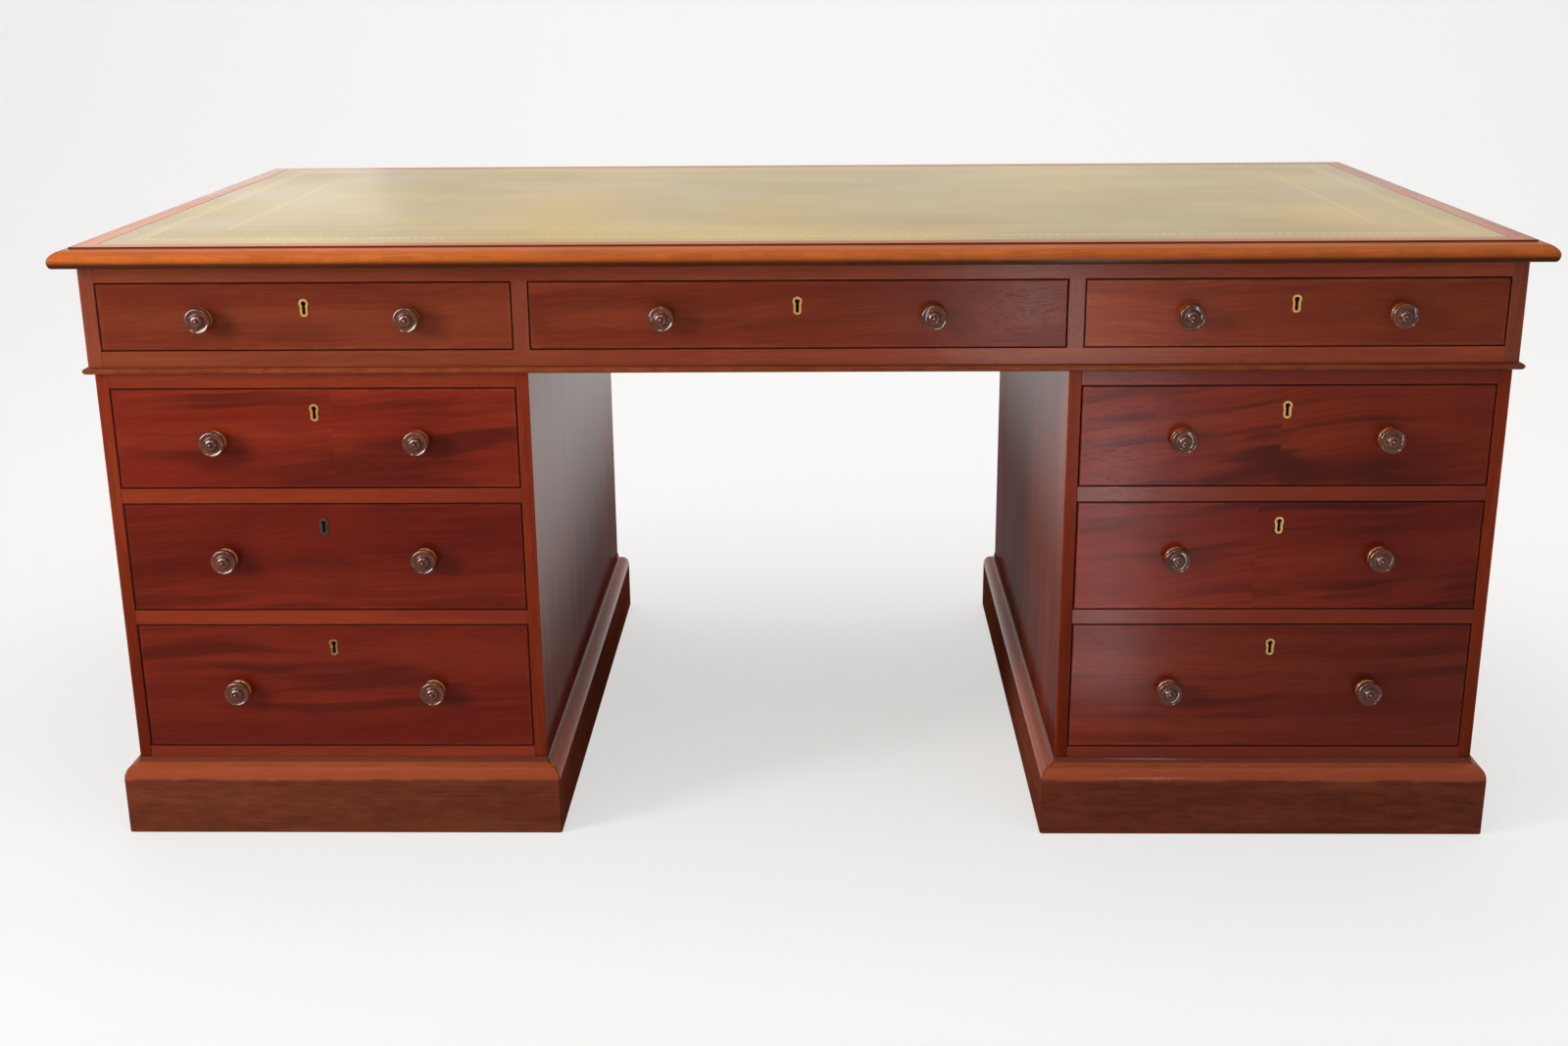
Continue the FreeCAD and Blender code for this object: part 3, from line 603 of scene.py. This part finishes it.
raise_grain(tree, shader, reckon(tree, "SUBTRACT", 1.0, gilt), 0.05, 0.0003)
leather = finished("leather_sheet", shape, material, 60)
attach(leather, "carcase")
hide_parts("writing_leather")


# Drawer fronts
# Mahogany fronts with eased edges, each with its own tone and streaks. Three are faced in two leaves.
# They lie flush in the openings, with a thin dark gap all round, and dirt and painted gap shade along the
# edges.

# Tone, brownness, strength of the figure, slope of the grain and seed of each front
fronts = {
    "frieze_left": (1.00, 1.7, 0.35, 0.02, 21.4),
    "frieze_centre": (1.12, 1.7, 0.35, 0.03, 23.8),
    "frieze_right": (2.75, 1.8, 0.35, 0.02, 25.3),
    "left_upper": (1.13, 1.0, 0.75, 0.04, 27.9),
    "left_middle": (0.84, 0.9, 0.45, 0.02, 29.2),
    "left_lower": (0.80, 0.9, 0.60, 0.03, 31.7),
    "right_upper": (2.08, 1.1, 0.90, 0.10, 33.1),
    "right_middle": (1.86, 1.0, 0.85, 0.08, 35.6),
    "right_lower": (1.55, 1.2, 0.50, 0.02, 37.5),
}
front_tones = (0.052, 0.0050, 0.0022), (0.134, 0.0110, 0.0038), (0.180, 0.0190, 0.0064)
leaf_joints = {"left_upper": 0.021, "right_upper": -0.005, "right_middle": -0.027}
leaf_drop, rubbed_and_highlit_line = 0.008, 0.0022
# How strongly painted window light lightens the left and darkens the right of each front
painted_light_near_window, painted_light_far_from_window = 0.1, 0.6
for drawer, (tone, brown, figure, slant, seed) in fronts.items():
    low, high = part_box(f"{drawer}_drawer_front")
    material, tree, shader, spot = new_material(f"{drawer} front mahogany", 0.08)
    tones = [(red * tone, green * tone * brown, blue * tone * brown) for red, green, blue in front_tones]
    place_on = apart(tree, spot)
    sloped = reckon(tree, "MULTIPLY_ADD", place_on["X"], -slant, place_on["Z"])
    if drawer in leaf_joints:
        joint = (low.x + high.x) / 2 + leaf_joints[drawer]
        second_leaf = reckon(tree, "GREATER_THAN", place_on["X"], joint)
        sloped = reckon(tree, "MULTIPLY_ADD", second_leaf, leaf_drop, sloped)
    run = together(tree, place_on["X"], place_on["Y"], sloped)
    wood = grained(tree, run, seed, tones, figure)
    arris = measured(tree, arris_distance, spot, low, high)["Distance"]
    # A pale band just in from each arris: painted highlight on the eased edges, and wear
    pale_band = distance_from(tree, arris, rubbed_and_highlit_line)
    painted_window_light = painted_light_far_from_window if "right" in drawer else painted_light_near_window
    worn = aged_with_painted_light(tree, spot, wood["Color"], pale_band, arris, 0.4, 0.8, painted_window_light)
    polish(tree, shader, wood, worn, worn["Color"])
    finish_node(f"{drawer}_drawer_front", material)


# Drawer boxes
# Oak linings: two sides dovetailed into the front, a lower back, and a bottom slid in from behind.
# The wood is bare, dry and slightly dusty.
lining = bare_wood("drawer lining oak", "Y", oak, 41.3, 0.7)
for drawer in fronts:
    finish_node(f"{drawer}_drawer_box", lining)


# Locks
# A brass lock is let into the back of each front, with a key pin behind its keyhole and four screws.
# A brass escutcheon lines the keyhole. One of them has gone nearly black, and another is worn.
tarnish_brown, keyhole_grime_and_shade = (0.11, 0.055, 0.024), (0.055, 0.032, 0.012)


def aged_brass_with_painted_shade(name, tint, tarnish, front_grime_and_shade=0.0):
    """Old brass with brown tarnish in clouds, and black grime and painted shade in the keyhole and on what
    lies behind it.
    """
    material, tree, shader, spot = new_material(name, 0.5)
    blotch = cloud(tree, spot, (160, 160, 160), 4.0, 0.6)
    blotch = spread(tree, blotch, 0.72 - tarnish * 0.6, 0.92 - tarnish * 0.6)
    colour = stain(tree, blotch, tint, tarnish_brown)
    facing = apart(tree, place(tree, "ShaderNodeNewGeometry").outputs["Normal"])
    front = reckon(tree, "LESS_THAN", facing["Y"], -0.7)
    # Dark inside the keyhole and on the lock behind it: grime and painted shade
    grime_and_shade = place(tree, "ShaderNodeAttribute", attribute_name="in_keyhole").outputs["Fac"]
    grime_and_shade = reckon(tree, "MAXIMUM", grime_and_shade, reckon(tree, "MULTIPLY", front, front_grime_and_shade))
    tree.links.new(stain(tree, grime_and_shade, colour, keyhole_grime_and_shade), shader.inputs["Base Color"])
    tree.links.new(spread(tree, grime_and_shade, 0.0, 1.0, 1.0, 0.0), shader.inputs["Metallic"])
    rough = spread(tree, blotch, 0.0, 1.0, 0.38, 0.55)
    tree.links.new(reckon(tree, "MULTIPLY_ADD", grime_and_shade, 0.4, rough), shader.inputs["Roughness"])
    raise_grain(tree, shader, cloud(tree, spot, (900, 900, 180)), 0.12, 0.0002)
    return material


keyhole_eye, keyhole_waist, keyhole_foot, keyhole_sag = 0.0029, 0.0017, 0.0019, 0.0010
keyhole_drop = 0.0125


def keyhole_spots(grown):
    """The outline of a keyhole about the middle of its eye, larger all round by what it has grown."""
    eye, waist = keyhole_eye + grown, keyhole_waist + grown
    foot, sag = keyhole_foot + grown, keyhole_sag + grown
    join = math.asin(waist / eye)
    turns = [join + (2 * math.pi - 2 * join) * step / 22 for step in range(23)]
    spots = [(eye * math.sin(turn), -eye * math.cos(turn)) for turn in turns]
    turns = [math.pi * step / 8 for step in range(9)]
    return spots + [(-foot * math.cos(turn), -keyhole_drop - sag * math.sin(turn)) for turn in turns]


yellow_brass, black_brass = (0.31, 0.165, 0.050), (0.045, 0.033, 0.030)
brass = aged_brass_with_painted_shade("escutcheon brass", yellow_brass, 0.25)
tarnished = {
    "left_middle": aged_brass_with_painted_shade("blackened brass", black_brass, 0.3),
    "left_lower": aged_brass_with_painted_shade("worn brass", yellow_brass, 0.6),
}
lock_brass = aged_brass_with_painted_shade("lock brass", yellow_brass, 0.35, 1.0)
shining = bpy.data.collections.new("knobs and escutcheons")
eye_below_top = 0.0257
screw_inset, screw_below_top, screw_out = 0.006, 0.008, 0.0003
head_radius, face_radius, head_rise = 0.0033, 0.0027, 0.0008
slot_out, slot_size = 0.0006, (0.0048, 0.0005, 0.0007)

# Rings of a lip, from its back edge over its face and into the keyhole: how far each lies behind the front
# of the lock node, how much larger it is than the keyhole, and its grime and painted shade
lip_rings = (
    (0.0004, 0.0032, 0.0),
    (-0.0003, 0.0030, 0.0),
    (-0.0003, 0.0003, 0.0),
    (0.0003, 0.0, 0.0),
    (0.0007, -0.00005, 1.0),
    (0.0060, -0.00005, 1.0),
)
for drawer in fronts:
    metal = tarnished.get(drawer, brass)
    finish_node(f"{drawer}_drawer_lock", lock_brass)
    low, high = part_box(f"{drawer}_drawer_lock")
    eye_at = Vector(((low.x + high.x) / 2, 0, high.z - eye_below_top))
    shape = bmesh.new()
    grime_and_shade_layer = shape.verts.layers.float.new("in_keyhole")
    loop = [shape.verts.new() for spot in keyhole_spots(0)]
    ring = [shape.edges.new((loop[turn - 1], loop[turn])) for turn in range(len(loop))]
    for number, (back, grown, grime_and_shade) in enumerate((*lip_rings, lip_rings[0])):
        if number:
            drawn = bmesh.ops.extrude_edge_only(shape, edges=ring)["geom"]
            fresh = {part for part in drawn if isinstance(part, bmesh.types.BMVert)}
            ring = [part for part in drawn if isinstance(part, bmesh.types.BMEdge)]
            rungs = [{edge.other_vert(vert) for edge in vert.link_edges} & fresh for vert in loop]
            loop = [rung.pop() for rung in rungs]
        for vert, (x, z) in zip(loop, keyhole_spots(grown)):
            vert.co = (eye_at.x + x, low.y + back, eye_at.z + z)
            vert[grime_and_shade_layer] = grime_and_shade
    bmesh.ops.remove_doubles(shape, verts=shape.verts[:], dist=0.00001)
    bmesh.ops.recalc_face_normals(shape, faces=shape.faces[:])
    lip = finished(f"{drawer}_escutcheon", shape, metal, 50)
    shining.objects.link(lip)
    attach(lip, f"{drawer}_drawer")
    shape = bmesh.new()
    for x in (low.x + screw_inset, high.x - screw_inset):
        for z in (low.z + screw_inset, high.z - screw_below_top):
            seat = Matrix.Translation((x, high.y + screw_out, z)) @ Matrix.Rotation(math.radians(-90), 4, "X")
            bmesh.ops.create_cone(
                shape,
                cap_ends=True,
                segments=20,
                radius1=head_radius,
                radius2=face_radius,
                depth=head_rise,
                matrix=seat,
            )
            slot = Matrix.Translation((x, high.y + slot_out, z)) @ Matrix.Rotation(0.6 + x * 9, 4, "Y")
            bar = bmesh.ops.create_cube(shape, size=1.0, matrix=slot)["verts"]
            bmesh.ops.scale(shape, vec=slot_size, verts=bar, space=slot.inverted())
    screws = finished(f"{drawer}_lock_screws", shape, metal, 30)
    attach(screws, f"{drawer}_drawer")


# Bolts
# The square-ended steel bolt of each lock, filed and oiled, which the key throws up into the rail.
# It has small spots of rust.
material, tree, shader, spot = new_material("bolt steel", 0.5)
shader.inputs["Metallic"].default_value = 1.0
rust = spread(tree, cloud(tree, spot, (210, 210, 210), 4.0, 0.65), 0.55, 0.75)
filed_steel, rust_brown = (0.42, 0.41, 0.39), (0.16, 0.10, 0.07)
tree.links.new(stain(tree, rust, filed_steel, rust_brown), shader.inputs["Base Color"])
tree.links.new(reckon(tree, "MULTIPLY_ADD", rust, 0.25, 0.32), shader.inputs["Roughness"])
raise_grain(tree, shader, cloud(tree, spot, (200, 2600, 2600)), 0.2, 0.0002)
for drawer in fronts:
    finish_node(f"{drawer}_drawer_bolt", material)


# Knobs
# Mahogany knobs, turned with a base ring, a waisted neck, a broad rim, a dished face, a boss and a button.
# A spigot is glued through the front. Hands have darkened and polished the rim, whose edge is painted pale as
# wear and painted highlight, dirt lies in the hollows, and the base and neck are painted amber as painted
# light.
knob_radius, knob_reach, spigot_radius, spigot_length = 0.0165, 0.026, 0.005, 0.022
foot_share = 0.78
knob_outline = [
    Vector((spigot_radius, -spigot_length)),
    Vector((spigot_radius, 0)),
    Vector((foot_share * knob_radius, 0)),
]

# Each quarter round's corner and end, as shares of the radius and the reach
for corner, end in (
    ((0.88, 0.00), (0.88, 0.10)),
    ((0.88, 0.21), (0.72, 0.21)),
    ((0.66, 0.21), (0.65, 0.22)),
    ((0.52, 0.22), (0.52, 0.30)),
    ((0.52, 0.40), (0.70, 0.41)),
    ((1.00, 0.41), (1.00, 0.58)),
    ((1.00, 0.74), (0.87, 0.74)),
    ((0.80, 0.695), (0.58, 0.695)),
    ((0.53, 0.695), (0.52, 0.72)),
    ((0.49, 0.90), (0.22, 0.90)),
    ((0.19, 0.90), (0.18, 0.885)),
    ((0.17, 1.00), (0.00, 1.00)),
):
    corner = (corner[0] * knob_radius, corner[1] * knob_reach)
    end = (end[0] * knob_radius, end[1] * knob_reach)
    knob_outline += quarter(knob_outline[-1], corner, end, 6)
hollows = [
    Vector((out * knob_radius, along * knob_reach))
    for out, along in ((0.64, 0.225), (0.54, 0.695), (0.18, 0.885))
]

material, tree, shader, spot = new_material("turned mahogany", 0.04, 0.60)
tones = (0.026, 0.005, 0.002), (0.098, 0.018, 0.004), (0.150, 0.034, 0.008)
painted_glow_amber = (0.48, 0.175, 0.034)
amber_from_share, amber_to_share = 0.15, 0.55
wood = grained(tree, along_grain(tree, spot, "Y"), 47.0, tones, 0.4)
from_hollow = place(tree, "ShaderNodeAttribute", attribute_name="from_hollow").outputs["Fac"]
from_rim = place(tree, "ShaderNodeAttribute", attribute_name="from_rim").outputs["Fac"]
along_knob = place(tree, "ShaderNodeAttribute", attribute_name="along_knob").outputs["Fac"]
amber_from, amber_to = amber_from_share * knob_reach, amber_to_share * knob_reach
# Painted light: the base and neck are painted amber, fading towards the rim
painted_glow = spread(tree, along_knob, amber_from, amber_to, 0.5, 0.0)
colour = stain(tree, painted_glow, wood["Color"], painted_glow_amber)
worn = aged_with_painted_light(tree, spot, colour, from_rim, from_hollow, 0.15, 0.4)
polish(tree, shader, wood, worn, worn["Color"], dull=-0.12)
for drawer in fronts:
    low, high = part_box(f"{drawer}_drawer_knobs")
    face_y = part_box(f"{drawer}_drawer_front")[0].y
    centre_z = (low.z + high.z) / 2
    shape = bmesh.new()
    hollow_layer = shape.verts.layers.float.new("from_hollow")
    rim_layer = shape.verts.layers.float.new("from_rim")
    along_layer = shape.verts.layers.float.new("along_knob")
    for x in (low.x + knob_radius, high.x - knob_radius):
        outline = []
        for point in knob_outline:
            vert = shape.verts.new((x + point.x, face_y - point.y, centre_z))
            vert[hollow_layer] = min((point - hollow).length for hollow in hollows)
            vert[rim_layer] = knob_radius - point.x
            vert[along_layer] = point.y
            outline.append(vert)
        drawn = [shape.edges.new(pair) for pair in zip(outline, outline[1:])]
        bmesh.ops.spin(
            shape,
            geom=[*outline, *drawn],
            cent=(x, face_y, centre_z),
            axis=(0, 1, 0),
            angle=math.radians(360),
            steps=48,
            use_merge=True,
        )
    bmesh.ops.remove_doubles(shape, verts=shape.verts[:], dist=0.00002)
    bmesh.ops.holes_fill(shape, edges=shape.edges[:], sides=64)
    bmesh.ops.recalc_face_normals(shape, faces=shape.faces[:])
    knobs = finished(f"{drawer}_turned_knobs", shape, material, 50)
    shining.objects.link(knobs)
    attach(knobs, f"{drawer}_drawer")
    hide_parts(f"{drawer}_drawer_knobs")


# Studio
# A plain pale sheet runs under the desk and sweeps up behind it, with pale walls beyond and a soft ceiling.
# A tall window stands on the left. White cards stand by it for the knobs and escutcheons alone,
# and cool strips low in front and a card behind show only in the polish.
paper_end, front_edge, sweep_start, sweep_wall, sweep_height, wall_top = 15.0, -7.0, 2.6, 4.2, 1.6, 6.0
paper_dark, paper_light = (0.90, 0.893, 0.872), (0.93, 0.925, 0.905)
paper_glow, glow_colour = 0.60, (0.955, 0.950, 0.935)
shape = bmesh.new()
sweep = [(front_edge, 0.0), (sweep_start, 0.0)]
sweep += quarter((sweep_start, 0.0), (sweep_wall, 0.0), (sweep_wall, sweep_height), 16)
sweep += [(sweep_wall, wall_top)]
line = [shape.verts.new((-paper_end, y, z)) for y, z in sweep]
drawn = [shape.edges.new(pair) for pair in zip(line, line[1:])]
pulled = bmesh.ops.extrude_edge_only(shape, edges=drawn)["geom"]
pulled = [part for part in pulled if isinstance(part, bmesh.types.BMVert)]
bmesh.ops.translate(shape, vec=(2 * paper_end, 0, 0), verts=pulled)
bmesh.ops.recalc_face_normals(shape, faces=shape.faces[:])
material, tree, shader, spot = new_material("pale paper", 0.1)
shader.inputs["Roughness"].default_value = 0.9
colour = stain(tree, cloud(tree, spot, (0.6, 0.6, 0.6), 3.0), paper_dark, paper_light)
tree.links.new(colour, shader.inputs["Base Color"])


def shown(tree, lit, glow, camera_share, output):
    """Shows a glow in mirrors, and to the camera by its share, and the lit surface or sky to all else."""
    rays = place(tree, "ShaderNodeLightPath").outputs
    seen = reckon(tree, "MULTIPLY", rays["Is Camera Ray"], camera_share)
    for mirrored in ("Is Glossy Ray", "Is Transmission Ray"):
        seen = reckon(tree, "MAXIMUM", seen, rays[mirrored])
    both = place(tree, "ShaderNodeMixShader", {0: seen, 1: lit, 2: glow}).outputs[0]
    tree.links.new(both, tree.nodes[output].inputs["Surface"])


glow = place(tree, "ShaderNodeEmission", {"Color": glow_colour, "Strength": 1.0}).outputs[0]
shown(tree, shader.outputs[0], glow, paper_glow, "Material Output")
finished("paper_sweep", shape, material)

scene = bpy.context.scene
scene.view_settings.view_transform = "Standard"
scene.world = bpy.data.worlds.new("pale sky")
scene.world.use_nodes = True
tree = scene.world.node_tree
sky = tree.nodes["Background"]
sky.inputs["Color"].default_value = (0.97, 0.98, 1.0, 1)
sky.inputs["Strength"].default_value = 0.48
wall_colour = (0.905, 0.900, 0.885)
wall = place(tree, "ShaderNodeBackground", {"Color": wall_colour, "Strength": 1.0}).outputs[0]
shown(tree, sky.outputs[0], wall, 1.0, "World Output")


def soft_lamp(name, place_at, aim, width, height, power, beam=180):
    """A rectangular soft lamp with a beam of its own width, turned to face a spot."""
    lamp = bpy.data.lights.new(name, "AREA")
    lamp.shape = "RECTANGLE"
    lamp.size, lamp.size_y = width, height
    lamp.spread = math.radians(beam)
    lamp.energy = power
    lamp_object = bpy.data.objects.new(name, lamp)
    lamp_object.location = place_at
    lamp_object.rotation_euler = (Vector(aim) - Vector(place_at)).to_track_quat("-Z", "Y").to_euler()
    scene.collection.objects.link(lamp_object)
    return lamp_object


soft_lamp("left window", (-2.4, -1.6, 1.2), (-0.3, -0.45, 0.55), width=0.7, height=1.2, power=6.2, beam=56)
soft_lamp("ceiling", (0, -0.6, 4.6), (0, 0, 0), width=5.0, height=5.0, power=102)
soft_lamp("back wash", (0, 1.6, 4.2), (0, 3.2, 0.6), width=3.0, height=3.0, power=50)
cards = [
    soft_lamp("left card", (-2.0, -1.8, 1.6), (-0.1, -0.45, 0.50), width=1.8, height=1.8, power=195),
    soft_lamp("middle card", (-0.3, -3.0, 2.4), (0.3, -0.45, 0.45), width=0.8, height=0.8, power=40),
]
for card in cards:
    card.light_linking.receiver_collection = shining
cards += [soft_lamp("back card", (-2.0, 3.2, 1.3), (-0.6, 0.0, 0.8), width=1.2, height=2.0, power=4)]
strip_turn, window_blue = Euler((math.radians(180), 0, math.radians(9))), (0.82, 0.93, 1.0)
for name, middle, width, length, power in (
    ("frieze strip", (0.70, -4.10, 0.02), 0.2, 1.2, 40.0),
    ("far strip", (0.71, -2.45, 0.02), 0.13, 1.4, 13.5),
    ("near strip", (0.53, -1.30, 0.02), 0.13, 0.9, 4.0),
):
    strip = soft_lamp(name, middle, (*middle[:2], 1.0), width, length, power)
    strip.rotation_euler = strip_turn
    strip.data.color = window_blue
    cards.append(strip)
for card in cards:
    card.visible_diffuse = False
    card.visible_camera = False

camera_tilt, camera_roll, camera_pan = 72.981, 0.4624, 1.1458
camera = bpy.data.cameras.new("view")
camera.sensor_width = 36.0
camera.lens = 42.057
scene.camera = bpy.data.objects.new("view", camera)
scene.camera.location = (0.0315, -2.6774, 1.1133)
scene.camera.rotation_euler = Euler([math.radians(turn) for turn in (camera_tilt, camera_roll, camera_pan)])
scene.collection.objects.link(scene.camera)
